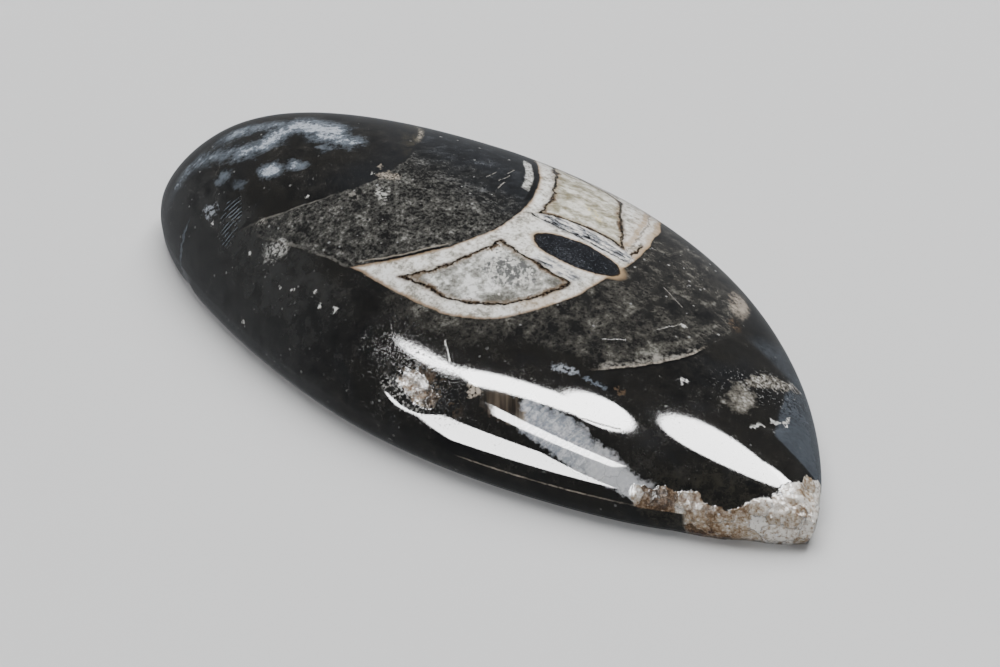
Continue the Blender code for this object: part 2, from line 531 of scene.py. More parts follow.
def patternFields(g):
    # everything the patterns are measured from; every texture is made here
    at = SimpleNamespace(g=g)
    at.mm = g.scaled(g.add("ShaderNodeTexCoord", out="Object"), 1000.0)
    at.x, at.y, at.z = g.split(at.mm)
    at.slow = g.split(g.noise(at.mm, 0.21, 2.0, out="Color"))
    at.fine = g.split(g.noise(at.mm, 1.5, 3.0, 0.6, out="Color"))
    at.cloud = g.noise(at.mm, 0.09, 4.0, 0.6)
    at.patchy = g.noise(at.mm, 0.28, 4.0, 0.6)
    at.swirl = g.noise(at.mm, 0.16, 5.0, 0.65, 0.6)
    at.soft = g.noise(at.mm, 0.62, 4.0, 0.62)
    at.wander = g.noise(at.mm, 0.85, 2.0, 0.5)
    at.salt = g.noise(at.mm, 1.55, 5.0, 0.80)
    at.grit = g.noise(at.mm, 3.1, 3.0, 0.65)
    at.dust = g.noise(at.mm, 5.2, 3.0, 0.7)
    at.level = at.salt + (at.grit - 0.5) * 0.35
    at.mottle = at.soft * 0.5 + at.salt * 0.35 + at.grit * 0.15
    at.wx = at.x + (at.slow[0] - 0.5) * 0.9 + (at.fine[0] - 0.5) * 0.28
    at.wy = at.y + (at.slow[1] - 0.5) * 0.9 + (at.fine[1] - 0.5) * 0.28
    at.cloudX = at.wx + (at.slow[2] - 0.5) * 3.0 + (at.fine[1] - 0.5) * 1.2
    at.cloudY = at.wy + (at.slow[0] - 0.5) * 1.5 + (at.fine[2] - 0.5) * 1.6
    at.roughX = at.x + (at.fine[0] - 0.5) * 1.7
    at.roughY = at.y + (at.fine[1] - 0.5) * 1.7
    at.flankX = at.x + (at.slow[1] - 0.5) * 1.6 + (at.fine[0] - 0.5) * 1.4
    at.flankZ = at.z + (at.slow[2] - 0.5) * 1.0 + (at.fine[1] - 0.5) * 1.1
    # textures drawn out along the stone, and crystals
    at.drift = streaks(at, 75.0, 0.4, 1.5, 4.0)
    at.drawn = streaks(at, 15.0, 0.5, 2.2, 4.0)
    at.wisps = streaks(at, 50.0, 0.4, 1.4, 5.0)
    at.fibres = streaks(at, -44.0, 0.45, 2.0, 4.0)
    at.bars = g.noise(g.join(at.x * 0.69 + at.y * 0.72, 0.0, at.z * 0.15), 1.5, 2.0)
    fibre, acrossFibre = g.turned(at.x, at.z, 0.0, 0.0, 62.0)
    at.bandFibres = g.noise(g.join(fibre * 0.5, acrossFibre * 2.6, at.y * 0.5), 1.0, 3.0, 0.6)
    at.facets = g.split(g.cells(g.join(at.cloudX * 0.7, at.cloudY * 1.2, at.z), 0.5, out="Color"))
    crystals = g.join(at.flankX, at.y, at.flankZ)
    at.kinds = g.split(g.cells(crystals, 0.5, out="Color"))
    at.gaps = g.cells(crystals, 0.5, feature="DISTANCE_TO_EDGE")
    # scattered specks with ragged edges, dark ones in some cells and light ones in others
    place = g.join(at.x + (at.dust - 0.5) * 0.3, at.y + (at.grit - 0.5) * 0.3, at.z)
    speck = g.cells(place, 1.45, out="Color")
    kind = g.split(speck)
    near = Wire(g, speck.socket.node.outputs["Distance"]) + kind[1] * 0.15
    at.blots = g.rise(near, 0.375, 0.285) * (kind[0] < 0.45)
    at.flecks = g.rise(near, 0.25, 0.20) * (kind[0] > 0.84)
    return at


# the fields that wait for the last texture
waitingFields = (
    "x", "y", "z", "cloud", "patchy", "swirl", "soft", "wander", "salt", "grit", "dust", "level", "mottle",
    "wx", "wy", "cloudX", "cloudY", "roughX", "roughY", "flankX", "flankZ", "drift", "drawn", "wisps",
    "fibres", "bars", "bandFibres", "gaps", "blots", "flecks",
)


def settleFields(at):
    # waiting keeps the number of values that are held while the shader runs within what it can hold
    g = at.g
    wait = at.blots + at.flecks
    for field in (at.drift, at.drawn, at.wisps, at.fibres, at.bars, at.bandFibres, at.facets[0], at.gaps):
        wait = wait + field
    wait = wait * 0.0000001
    for name in waitingFields:
        setattr(at, name, getattr(at, name) + wait)
    for name in ("slow", "fine", "facets", "kinds"):
        setattr(at, name, [field + wait for field in getattr(at, name)])
    at.near = at.y < 0.0
    at.clouded = g.join(at.cloudX, at.cloudY)
    at.roughened = g.join(at.roughX, at.roughY)
    at.flank = g.join(at.flankX, at.flankZ)
    at.s0, at.s1, at.s2, at.s3 = [septum(g, at.wx, at.wy, name) for name in septa]
    at.nearWall = at.wy + 14.4 - at.wx * 0.055
    at.taperWall = at.wy + 16.4 - at.wx * 0.36
    at.inShell = g.low(at.nearWall, at.taperWall, 2.5)
    at.outerSide = g.low(-at.s2, at.inShell, 4.0)
    at.body = g.low(at.s1, at.outerSide)


# marks in mm, each from one place to another: scratches, and white lines in the hollows near the point
scratchLines = (
    (8.5, -15.3, 10.6, -16.6), (17.4, 4.4, 20.5, 3.7), (21.9, -1.0, 22.5, 1.6), (19.6, -6.1, 21.1, -4.6),
    (-4.9, 2.6, -5.3, 4.6), (-3.7, 3.2, -4.2, 5.2), (-4.6, 5.2, -5.1, 6.9), (-2.7, 2.2, -3.2, 3.6),
    (24.2, -13.4, 27.6, -11.8),
)
whiteLines = (
    (35.1, -2.7, 35.3, -1.5), (35.4, -0.2, 36.0, 0.6), (36.0, 0.6, 35.6, 1.8), (27.7, -4.2, 28.1, -3.8),
)
# bright nicks, their pale colour a painted glint: place and radius in mm
nickGlintSpots = (
    (-18.3, -16.6, 9.3, 0.20), (-16.2, -19.6, 3.6, 0.22), (-11.9, -18.2, 8.6, 0.14),
    (-10.2, -18.1, 9.0, 0.12), (-7.4, -17.6, 9.7, 0.14), (-5.9, -18.3, 9.1, 0.20),
    (-3.9, -18.1, 9.3, 0.24), (6.9, -21.3, 1.0, 0.20), (-13.0, -5.1, 16.0, 0.16),
    (-16.5, -10.6, 14.1, 0.10), (-26.1, -15.1, 9.1, 0.16), (22.6, 1.6, 10.6, 0.26),
)
# roughness of the polish, and what each mark adds; the pocket's crystals are glossier again
gloss = {
    "polish": 0.03, "clouds": 0.015, "skin": 0.13, "pits": 0.2, "crystals": 0.16, "pocket": 0.08,
    "scratches": 0.2, "nicks": 0.3, "grains": 0.04, "underside": 0.4,
}


def markRelief(at):
    # the rough crystals, the duller skin, scratches and nicks, and the height and gloss they give
    g = at.g
    at.pocket, at.crust, at.tip = roughPlaces(g, at.mm)
    skin = (at.y + 12.2) * -0.985 - (at.x + 29.1) * 0.174
    skin = g.rise(skin + (at.slow[1] - 0.5) * 2.5 + (at.soft - 0.5) * 2.0, -1.0, 1.6)
    at.skin = skin * g.rise(at.x, 3.0, -12.0)
    warped = g.join(at.wx, at.wy)
    at.scratches = g.most([stripe(lineReach(warped, *line), 0.055) for line in scratchLines])
    roughened = g.join(at.roughX, at.roughY)
    squiggles = [stripe(lineReach(roughened, *line), 0.16) for line in whiteLines]
    wobble = (at.dust - 0.5) * 1.3 + (at.grit - 0.5) * 0.9
    nicks = [g.most(squiggles) * g.rise(at.grit, 0.40, 0.50)]
    for cx, cy, cz, radius in nickGlintSpots:
        near = g.measure("DISTANCE", at.mm, (cx, cy, cz)) + wobble
        nicks.append(g.rise(near, radius * 0.95, radius * 0.7))
    at.nicks = g.most(nicks)
    crystals = g.most((at.pocket, at.crust, at.tip))
    side = g.join(at.x, at.z)
    flankGrain = softSpot(side, 8.0, 7.6, 9.0, 3.2, -14.0, 0.6) * (at.y < 0.0)
    pits = g.rise(at.dust + flankGrain * -0.09, 0.33, 0.27) * g.rise(at.patchy + flankGrain, 0.44, 0.60)
    rough = gloss["polish"] + g.rise(at.swirl, 0.4, 0.7) * gloss["clouds"]
    rough = rough + at.skin * gloss["skin"] + pits * gloss["pits"]
    rough = rough + crystals * gloss["crystals"] - at.pocket * gloss["pocket"]
    rough = rough + at.scratches * gloss["scratches"] + at.nicks * gloss["nicks"]
    at.rough = rough + g.rise(at.salt, 0.56, 0.72) * gloss["grains"]
    lumps = (g.noise(at.mm, 2.2, 4.0, 0.7) + g.cells(at.mm, 1.2)) * 1.6
    height = crystals * lumps * 0.6 - pits * 0.9 - at.scratches * 0.3 - at.nicks * 0.7
    at.height = height + at.grit * (flankGrain * 0.10 + at.skin * 0.03 + 0.010) + at.salt * 0.015


def coat(at, mask, tone):
    # lays a tone over what is painted so far
    at.colour = at.g.blend(mask, at.colour, tone)


def paintMatrix(at):
    g = at.g
    level = at.mottle + (at.patchy - 0.5) * 0.30 + (at.swirl - 0.5) * 0.12
    at.colour = g.ramp(level, matrixTones)
    coat(at, g.rise(at.cloud, 0.42, 0.60) * 0.45, "matrixWarm")
    coat(at, g.rise(at.swirl, 0.52, 0.72) * 0.5, "matrixBlue")
    # a lighter, browner strip below the shell
    strip = g.rise(at.body + 2.8 + (at.patchy - 0.5) * 3.0, 0.0, 2.6) * g.rise(at.wx, -1.0, 3.0)
    strip = strip * g.rise(at.wy, -2.0, -6.0) * g.rise(at.wx, 26.0, 20.0)
    coat(at, strip * 0.85, g.ramp(at.mottle + 0.045, pointTones))
    blots = g.rise(at.grit, 0.385, 0.345) * (strip * 0.5 + 0.35)
    coat(at, blots, "black")
    coat(at, at.flecks * g.rise(at.patchy, 0.44, 0.58) * 0.5, "pin")


def paintSediment(at):
    g = at.g
    # between the first and second septum: salt and pepper near the edge, smoother and bluer beyond
    closeness = g.rise(at.y + (at.patchy - 0.5) * 8.0, 5.0, -5.0)
    level = at.soft * 0.36 + at.salt * 0.42 + at.grit * 0.22 + (at.patchy - 0.5) * 0.12
    farTone = g.ramp(at.soft * 0.4 + at.salt * 0.3 + at.drift * 0.3 + (at.patchy - 0.5) * 0.15, farTones)
    tone = g.blend(closeness, farTone, g.ramp(level + closeness * 0.015, nearTones))
    dots = g.high(at.blots * (closeness * 0.6 + 0.3), g.rise(at.grit, 0.395, 0.355))
    tone = g.blend(dots * 0.9, tone, "black")
    tone = g.blend(at.flecks * 0.75, tone, "pin")
    inside = g.rise(g.low(g.low(at.s0, -at.s1), at.inShell), -0.05, 0.2)
    coat(at, inside, tone)
    # between the third and fourth septum: cloudier and browner
    level = at.soft * 0.55 + at.salt * 0.3 + at.grit * 0.15 + (at.patchy - 0.5) * 0.22
    light = softSpot(at.clouded, 17.8, -1.6, 2.4, 1.8, 20.0, 0.8, -0.1) * 0.03
    light = light + softSpot(at.clouded, 23.1, -3.4, 1.6, 1.2, 60.0, 0.6, -0.1) * 0.08
    dark = softSpot(at.clouded, 19.7, -7.3, 1.5, 1.1, 0.0, 0.8, -0.1) * 0.07
    dark = dark + softSpot(at.clouded, 21.2, 5.0, 1.6, 1.2, 0.0, 0.8, -0.1) * 0.06
    tone = g.ramp(level + light - dark, pointTones)
    tone = g.blend(g.high(at.blots * 0.7, g.rise(at.grit, 0.365, 0.33)) * 0.9, tone, "black")
    tone = g.blend(at.flecks * 0.7, tone, "pin")
    inside = g.rise(g.low(g.low(at.s2, -at.s3), at.taperWall), -0.3, 0.7)
    coat(at, inside, tone)
    # clearer rock inside the blunt end
    clear = g.rise(at.s0, -6.0, -1.0) * g.rise(at.y, -11.0, -4.0) * g.rise(at.s0, 0.2, -0.2) * 0.5
    coat(at, clear, "matrixBlue")


def paintSepta(at):
    g = at.g
    breakup = g.rise(at.fine[0], 0.35, 0.55)
    wall = stripe(at.nearWall, 0.11) * between(at.x, -18.5, -6.0, 1.5)
    coat(at, wall * breakup * 0.30, "chalk")
    firstLine = stripe(at.s0, 0.09) * between(at.y, -14.6, -9.6, 1.2) * (breakup * 0.25 + 0.12)
    coat(at, firstLine, "chalk")
    khaki = g.rise(at.s0, -3.2, -0.5) * g.rise(at.s0, 0.0, -0.3) * g.rise(at.y, -2.5, 2.5)
    coat(at, khaki * g.rise(at.mottle, 0.40, 0.60) * 0.75, "khaki")
    firstArc = between(at.s0 + (at.grit - 0.5) * 0.7, -0.48, 0.04, 0.16)
    firstArc = firstArc * between(at.y, 3.2, 6.4, 1.4)
    coat(at, firstArc * (g.rise(at.salt, 0.42, 0.60) * 0.4 + 0.15), "cream")
    # the fourth: crisp towards the point, fading on its hollow side
    reach = g.rise(abs(at.y + 4.0), 5.8, 3.6)
    fourth = g.rise(at.s3 + (at.soft - 0.5) * 1.2, -1.15, -0.35) * g.rise(at.s3, 0.05, -0.05) * reach
    coat(at, fourth * g.rise(at.mottle + fourth * 0.08, 0.48, 0.64) * 0.8, "chalk")
    crisp = stripe(at.s3 + 0.14 + (at.dust - 0.5) * 0.2, 0.11) * reach
    coat(at, crisp * (g.rise(at.level, 0.42, 0.58) * 0.5 + 0.15), "crystalCream")
    underLine = stripe(at.s3 - 0.14, 0.09) * reach
    coat(at, underLine * 0.8, "black")
    farMark = softSpot(at.roughened, 21.0, 11.4, 3.9, 1.2, -50.0, 0.55, -0.05)
    coat(at, farMark * (g.rise(at.mottle, 0.40, 0.58) * 0.55 + 0.15), "crystalCream")
    tail = softSpot(at.clouded, 24.0, 7.4, 1.7, 0.8, -50.0, 0.7)
    coat(at, tail * g.rise(at.mottle, 0.42, 0.56) * 0.4, "crystalBrown")
    # dark hairlines and a sliver of calcite along the hollow side of the second
    nearEdge = between(at.y, -13.6, -7.6, 0.8)
    coat(at, stripe(at.s1 + 0.42, 0.09) * nearEdge * 0.4, "crystalCream")
    coat(at, stripe(at.s1 + 0.13, 0.15) * nearEdge * 0.95, "black")
    coat(at, stripe(at.s1 + 0.36, 0.20) * g.rise(at.y, 1.6, 3.4), "black")
    sliver = between(at.s1 + (at.grit - 0.5) * 0.5, -1.38, -0.62, 0.12)
    sliver = sliver * between(at.y, 4.7, 10.4, 0.4)
    coat(at, sliver * 0.85, g.ramp(at.level + 0.03, lensTones))


def paintCalcite(at):
    # the pale calcite that fills the chamber between the second and third septum
    g = at.g
    white = g.ramp(at.level * 0.5 + at.soft * 0.5 + 0.01, calciteTones)
    white = g.blend(g.rise(at.dust, 0.37, 0.30) * 0.5, white, "tan")
    edgeTan = g.rise(at.body, 0.50, 0.02) * (g.rise(at.patchy, 0.34, 0.56) * 0.75 + 0.25)
    white = g.blend(edgeTan * 0.8, white, "tan")
    nearArm = g.rise(at.wy, -6.0, -10.0)
    white = g.blend(g.rise(at.body, 0.18 + nearArm * 0.20, 0.04) * 0.7, white, "crystalBrown")
    warmPatch = softSpot(at.clouded, 12.3, -6.6, 3.6, 1.1, 62.0, 0.6)
    white = g.blend(warmPatch * 0.42, white, "tan")
    bands = g.math("SINE", at.s2 * -4.6 + (at.slow[2] - 0.5) * 7.0) * 0.5 + 0.5
    farRim = g.rise(at.wy, 3.0, 6.0) * g.rise(at.s2, -3.0, -2.2)
    white = g.blend(farRim * (g.rise(bands, 0.25, 0.95) * 0.5 + 0.2), white, "tan")
    growth = stripe(at.s2 + 1.25 + (at.fine[1] - 0.5) * 0.6, 0.10) * g.rise(at.dust, 0.40, 0.52)
    hook = stripe(at.s2 + 0.65 + (at.fine[0] - 0.5) * 0.8, 0.15) * between(at.wy, 4.6, 8.6, 0.8)
    white = g.blend(farRim * g.high(growth * 0.7, hook), white, "brownLine")
    coat(at, g.rise(at.body, -0.05, 0.07), white)


def paintLenses(at):
    # two clear lenses of calcite, each inside a ragged brown growth line
    g = at.g
    at.lensTop = (at.wx * 0.09 - 4.1) - at.wy
    at.lensFloor = (at.wy + 0.63 + at.wx * at.wx * 0.058 - at.wx * 1.212) * 0.86
    ragged = (at.wander - 0.5) * 0.7 + (at.grit - 0.5) * 0.45
    leftSide = at.s1 - 1.7 - g.rise(at.wy, -6.5, -11.5) * 0.45
    lensNear = g.low(g.low(leftSide, at.outerSide - 1.6, 0.3), at.lensTop, 0.3) + ragged
    rightSide = g.low(11.85 - (at.wx + at.wy) * 0.707, 14.7 - at.wy, 2.2)
    farSides = g.low(at.s1 - 1.55, rightSide, 0.3)
    lensFar = g.low(farSides, g.low(at.lensFloor, at.wy + 1.5), 0.3) + ragged * 0.7
    level = at.soft * 0.72 + at.level * 0.28
    milky = softSpot(at.clouded, 4.6, -9.8, 3.6, 1.8, 20.0, 0.6, -0.3)
    glassy = g.ramp(level + milky * 0.035, lensTones)
    # the middle of the near lens is broken: darker, with fibrous facets and bright cracks
    broken = softSpot(at.roughened, 7.4, -6.2, 3.3, 2.1, 20.0, 0.25)
    shardLevel = at.facets[0] * 0.25 + (at.fibres - 0.5) * 3.4 + (at.level - 0.5) * 2.2 + 0.22
    shardTone = g.blend(g.rise(shardLevel, 0.20, 0.62), "shard", "lensPale")
    nearFill = g.blend(broken * 0.92, glassy, shardTone)
    sparks = g.high(g.rise(at.grit, 0.61, 0.66) * broken, at.flecks * 0.8)
    nearFill = g.blend(sparks, nearFill, "white")
    smear = softSpot(at.roughened, 10.2, -6.0, 2.2, 1.2, 50.0, 0.5)
    nearFill = g.blend(smear * g.rise(at.wisps, 0.44, 0.64) * 0.6, nearFill, "white")
    corner = softSpot(at.roughened, 4.3, -4.9, 1.1, 0.8, 20.0, 0.4)
    nearFill = g.blend(corner * g.rise(at.grit, 0.46, 0.54), nearFill, "white")
    nearFill = g.blend(corner * g.rise(at.grit, 0.42, 0.38), nearFill, "brownLine")
    spots = softSpot(at.clouded, 5.0, 7.8, 2.3, 0.9, -30.0, 0.7)
    farFill = g.blend(g.rise(at.wisps, 0.48, 0.70) * 0.5, g.ramp(level, lensTones), "white")
    farFill = g.blend(0.20, farFill, "lensYellow")
    farFill = g.blend(spots * g.rise(at.level, 0.46, 0.62), farFill, "lensYellow")
    clumps = g.rise(at.soft + (at.patchy - 0.5) * 0.6, 0.46, 0.60)
    dotted = g.rise(at.dust, 0.36, 0.48) * 0.45 + 0.55
    for lens, filling in ((lensNear, nearFill), (lensFar, farFill)):
        halo = g.blend(g.rise(lens, 0.75, 0.0) * (clumps * 0.45 + 0.3), filling, "tan")
        dendrites = g.rise(at.grit + g.rise(lens, 1.0, 0.1) * 0.14, 0.585, 0.625) * g.rise(lens, 1.2, 0.5)
        halo = g.blend(dendrites * clumps * 0.85, halo, "brownLine")
        coat(at, g.rise(lens, -0.05, 0.10), halo)
        fringe = g.rise(abs(lens - 0.1), 0.55, 0.15) * (clumps * 0.4 + 0.25)
        coat(at, fringe, "crystalBrown")
        line = g.rise(abs(lens - 0.1), 0.20 + clumps * 0.20, 0.06) * dotted
        coat(at, line, "brownLine")
        coat(at, stripe(lens - 0.06, 0.09) * g.rise(at.dust, 0.44, 0.52), "black")


def paintSiphuncle(at):
    # the siphuncle and the cracked strip of calcite that holds it
    g = at.g
    strip = g.rise(g.low(at.body, g.low(-at.lensTop, -at.lensFloor)), 0.0, 0.25)
    highCrack = at.wy - (at.wx * 0.24 + 1.0)
    lowEdge = at.wy - (at.wx * 0.09 - 4.1)
    stained = g.rise(highCrack, -0.5, 0.2) * g.rise(highCrack, 2.6, 1.4) * g.rise(at.wx, 2.0, 4.0)
    stained = g.high(stained, g.rise(abs(lowEdge - 0.8), 0.9, 0.3) * between(at.wx, 8.0, 12.6, 0.8))
    tone = g.blend(g.rise(at.drawn + (at.level - 0.5) * 0.4, 0.44, 0.62), "stain", "white")
    coat(at, stained * strip * 0.9, tone)
    dashes = g.rise(at.drawn + (at.dust - 0.5) * 0.45, 0.43, 0.38) * stained
    wander = (at.grit - 0.5) * 0.7
    dots = g.rise(at.dust, 0.42, 0.50) * 0.8 + 0.2
    cracks = g.high(stripe(highCrack + wander, 0.12) * dots, dashes)
    second = stripe(highCrack - 0.75 + wander * 1.4, 0.10) * g.rise(at.fine[0], 0.46, 0.54)
    cracks = g.high(cracks, second * dots)
    coat(at, cracks * strip, "black")
    fuzzy = g.join(at.wx + (at.grit - 0.5) * 0.3, at.wy + (at.dust - 0.5) * 0.25)
    tube = ellipse(fuzzy, 9.7, 0.6, 4.6, 1.95, 15.9)
    blurred = g.rise(at.wx, 11.0, 14.0)
    coat(at, g.rise(tube, -0.16 - blurred * 0.05, -0.01) * 0.8, "tan")
    filling = g.blend(g.rise(at.mottle, 0.44, 0.64), "siphuncle", "siphuncleDust")
    filling = g.blend(g.rise(at.dust, 0.58, 0.70) * 0.45, filling, "stain")
    filling = g.blend(at.flecks, filling, "pin")
    coat(at, g.rise(tube, -0.015, 0.02), "brownLine")
    coat(at, g.rise(tube, 0.015, 0.08), filling)


# milky veins in mm, each from one place to another with a half width
milkVeins = (
    (-36.9, -11.5, -35.3, -9.9, 0.45), (-35.3, -9.9, -29.4, -8.8, 0.30), (-29.0, -8.8, -27.0, -7.2, 0.75),
    (-27.2, -7.0, -26.5, -3.4, 1.05), (-26.4, -3.0, -22.4, -2.0, 1.35), (-23.0, -3.4, -19.0, -2.3, 0.75),
    (-33.6, -7.0, -28.6, -3.9, 0.45),
)
# milky blotches in mm: x, y, half length, half width, turn, strength
milkBlotches = (
    (-32.7, -6.2, 1.9, 1.0, 50.0, 0.8), (-23.3, -9.6, 1.4, 0.9, 12.0, 1.0),
    (-21.2, -8.1, 1.3, 0.7, 12.0, 0.8), (-28.6, -11.5, 0.9, 0.7, 0.0, 0.6),
    (-25.6, -11.8, 0.8, 0.5, 0.0, 0.4), (-20.6, -4.7, 0.8, 0.6, 10.0, 0.6),
)
# small pale inclusions: x, y, half length, half width, turn, tone, strength
inclusions = (
    (-11.3, -4.4, 1.5, 0.9, 20.0, "crystalCream", 0.8), (-9.7, -6.6, 1.3, 0.9, -20.0, "lensPale", 0.8),
    (-15.1, -15.9, 1.9, 1.2, 10.0, "lensPale", 0.7), (-13.2, -3.9, 0.5, 0.3, 0.0, "crystalCream", 0.6),
    (-19.3, -14.2, 0.8, 0.5, 0.0, "chalk", 0.7), (-12.2, -8.5, 1.1, 0.6, 0.0, "chalk", 0.6),
    (19.6, -10.9, 1.6, 0.55, 20.0, "milkCore", 0.7), (22.6, -10.1, 1.5, 0.35, 14.0, "milk", 0.8),
    (25.0, -9.2, 0.7, 0.4, 0.0, "crystalBrown", 0.5), (-27.5, -14.2, 1.5, 0.5, -10.0, "milkCore", 0.6),
)


def paintBluntEnd(at):
    g = at.g
    ragged = (at.wisps - 0.5) * 2.4 + (at.grit - 0.5) * 0.9
    patches = []
    for ax, ay, bx, by, halfWidth in milkVeins:
        reach = lineReach(at.roughened, ax, ay, bx, by)
        patches.append(g.rise(halfWidth - reach + ragged, -1.2, 1.2))
    for *place, strength in milkBlotches:
        patches.append(g.rise(ellipse(at.roughened, *place) + ragged * 0.3, -0.5, 0.7) * strength)
    milk = g.most(patches)
    gap = softSpot(at.roughened, -24.7, -4.9, 1.3, 0.5, 50.0, 0.4)
    milk = milk * (1.0 - gap * 0.85)
    coat(at, milk * (g.rise(at.mottle, 0.38, 0.56) * 0.5 + 0.4), "milk")
    core = g.rise(milk + (at.level - 0.5) * 0.9, 0.72, 1.05)
    coat(at, core * 0.8, "milkCore")
    # the duller skin around the blunt end and along its near flank, lightened with a painted sheen
    clouding = at.soft * 0.6 + at.mottle * 0.4
    coat(at, at.skin * (g.rise(clouding, 0.32, 0.64) * 0.8 + 0.25), "haze")
    coat(at, at.skin * at.flecks * 0.35, "pin")
    scuff = softSpot(at.roughened, -31.2, -15.6, 1.4, 0.35, 60.0, 0.5)
    coat(at, scuff * 0.35, "milk")
    # a patch of short parallel strokes, dark and pale by turns
    across = at.wy * 0.602 - at.wx * 0.799
    strokes = g.math("SINE", across * 13.5 + (at.fine[0] - 0.5) * 3.0) * 0.5 + 0.5
    hatch = softSpot(at.roughened, -23.6, -14.6, 2.6, 1.2, -48.0, 0.3)
    hatch = hatch * g.rise(at.wisps + (at.grit - 0.5) * 0.3, 0.42, 0.52)
    coat(at, hatch * g.rise(strokes, 0.45, 0.15) * 0.8, "black")
    coat(at, hatch * g.rise(strokes, 0.72, 0.95) * 0.55, "milk")
    for *place, tone, strength in inclusions:
        patch = softSpot(at.roughened, *place, 0.5)
        coat(at, patch * g.rise(at.level, 0.42, 0.60) * strength, tone)


def paintPoint(at):
    # clear blue-grey calcite and a clouded patch near the point
    g = at.g
    alongEdge = g.rise(at.wy, 6.6, 7.8) * g.rise(at.wx, 25.0, 27.5)
    glass = g.low((at.wx - 31.2) * 0.847 + (at.wy - 7.2) * 0.532, at.wy + 1.5, 1.2)
    glass = g.high(g.rise(glass, -0.15, 0.25), alongEdge * 0.6)
    clearness = g.rise(at.mottle, 0.40, 0.60) * 0.3 + 0.7
    coat(at, glass * clearness, "glassBlue")
    granular = g.rise(at.wx, 37.0, 33.0)
    coat(at, glass * granular * g.rise(at.level, 0.50, 0.40) * 0.85, "black")
    lobe = ellipse(at.roughened, 32.1, -0.9, 2.4, 1.7, -50.0)
    crest = ellipse(at.roughened, 31.4, 4.2, 3.6, 1.1, 78.0)
    lobeMask = g.rise(lobe + (at.soft - 0.5) * 1.2, 0.0, 0.5)
    coat(at, lobeMask * 0.95, g.ramp(at.mottle + lobeMask * 0.05, paleTones))
    crestMask = g.rise(crest + (at.soft - 0.5) * 0.9, 0.0, 0.35)
    coat(at, crestMask, g.ramp(at.level + 0.04, paleTones))
    around = softSpot(at.clouded, 31.6, 2.0, 6.4, 3.2, 80.0, 0.5)
    coat(at, around * g.rise(at.grit, 0.60, 0.65) * 0.6, "pin")
    coat(at, around * g.rise(at.grit, 0.40, 0.36) * 0.8, "black")


def crystalTone(at, whiteness):
    # coarse polished calcite: brown where it is clear, cream and white where it is crushed, with painted
    # shade in the gaps between crystals and painted glints on scattered specks
    g = at.g
    level = at.soft * 0.45 + at.kinds[0] * 0.34 + (at.level - 0.5) * 0.9 + 0.22
    tone = g.ramp(level + whiteness, crystalTones)
    tone = g.blend(g.rise(at.grit, 0.42, 0.36) * 0.55, tone, "crystalBrown")
    # painted shade in the gaps between crystals
    tone = g.blend(g.rise(at.gaps, 0.07, 0.0) * g.rise(at.grit, 0.42, 0.56) * 0.7, tone, "crevice")
    # painted glints on scattered specks
    return g.blend(at.flecks * 0.9, tone, "bandWhite")


def paintFlank(at):
    g = at.g
    # calcite band, its clear part fibrous, its lower end opaque
    slope = at.flankZ + (at.x - 20.0) * 0.275
    band = between(slope, 6.3, 8.25, 0.16) * between(at.flankX, 19.0, 32.8, 0.4) * at.near
    clearness = at.bandFibres * 0.5 + at.level * 0.6
    clear = g.blend(g.rise(clearness, 0.46, 0.70), "bandBlue", "bandWhite")
    opaque = g.rise(at.x + (at.patchy - 0.5) * 14.0, 23.5, 28.5)
    tone = g.blend(opaque * 0.7, clear, "bandWhite")
    tone = g.blend(g.rise(at.gaps, 0.05, 0.0) * 0.4, tone, "stain")
    specked = g.rise(at.grit, 0.40, 0.35) * g.rise(at.x, 24.0, 19.0)
    tone = g.blend(specked * 0.7, tone, "stain")
    coat(at, band * (0.95 - g.rise(slope, 7.6, 8.3) * 0.35), tone)
    # amber window above the band, dark towards the pocket
    window = softSpot(at.flank, 17.4, 7.35, 3.0, 0.95, -12.0, 0.22) * at.near
    glow = g.blend(g.rise(at.bars, 0.32, 0.62), "amberDark", "amber")
    glow = g.blend(g.rise(at.x + (at.bars - 0.5) * 2.0, 18.3, 20.1) * 0.6, glow, "crystalCream")
    coat(at, window * g.rise(at.x, 14.0, 17.0), glow)
    crumb = softSpot(at.flank, 14.1, 7.9, 0.9, 0.45, -10.0, 0.3) * at.near
    coat(at, crumb * g.rise(at.grit, 0.40, 0.52), "crystalCream")
    # the crystal pocket: clear brown crystals with painted shade in their recesses, darker towards its
    # upper end, and pale specks along its lower side as painted glints
    pocketTone = crystalTone(at, -0.15)
    # painted shade in the recesses
    pocketTone = g.blend(g.rise(at.soft, 0.50, 0.40) * 0.8, pocketTone, "crevice")
    upper = g.rise(at.z + at.x * 0.3, 8.9, 10.2)
    pocketTone = g.blend(upper * 0.6, pocketTone, "amberDark")
    crystals = g.rise(at.pocket + (at.level - 0.5) * 2.2, 0.15, 0.75) * g.rise(at.pocket, 0.0, 0.25)
    coat(at, crystals, pocketTone)
    # painted glints along the lower side
    below = softSpot(at.flank, 7.6, 5.9, 3.6, 0.9, -14.0, 0.4) * at.near
    coat(at, below * g.rise(at.grit, 0.53, 0.60) * 0.7, "lensPale")
    crumbs = softSpot(at.flank, 10.6, 6.9, 4.6, 1.6, -16.0, 0.6) * at.near
    coat(at, crumbs * g.rise(at.mottle, 0.50, 0.62) * 0.45, "crystalBrown")
    # crust along the edge and the crystals of the point
    above = g.rise(at.x, 31.6, 33.0) * g.rise(at.flankZ, 6.4, 4.6) * g.rise(at.y, -3.0, -5.0)
    coat(at, above * g.rise(at.mottle, 0.40, 0.62) * 0.3, "khaki")
    ends = g.most((g.rise(at.crust, 0.1, 0.5), g.rise(at.tip, 0.1, 0.5)))
    coat(at, ends, crystalTone(at, g.rise(at.x, 37.0, 42.5) * 0.20 - 0.06))


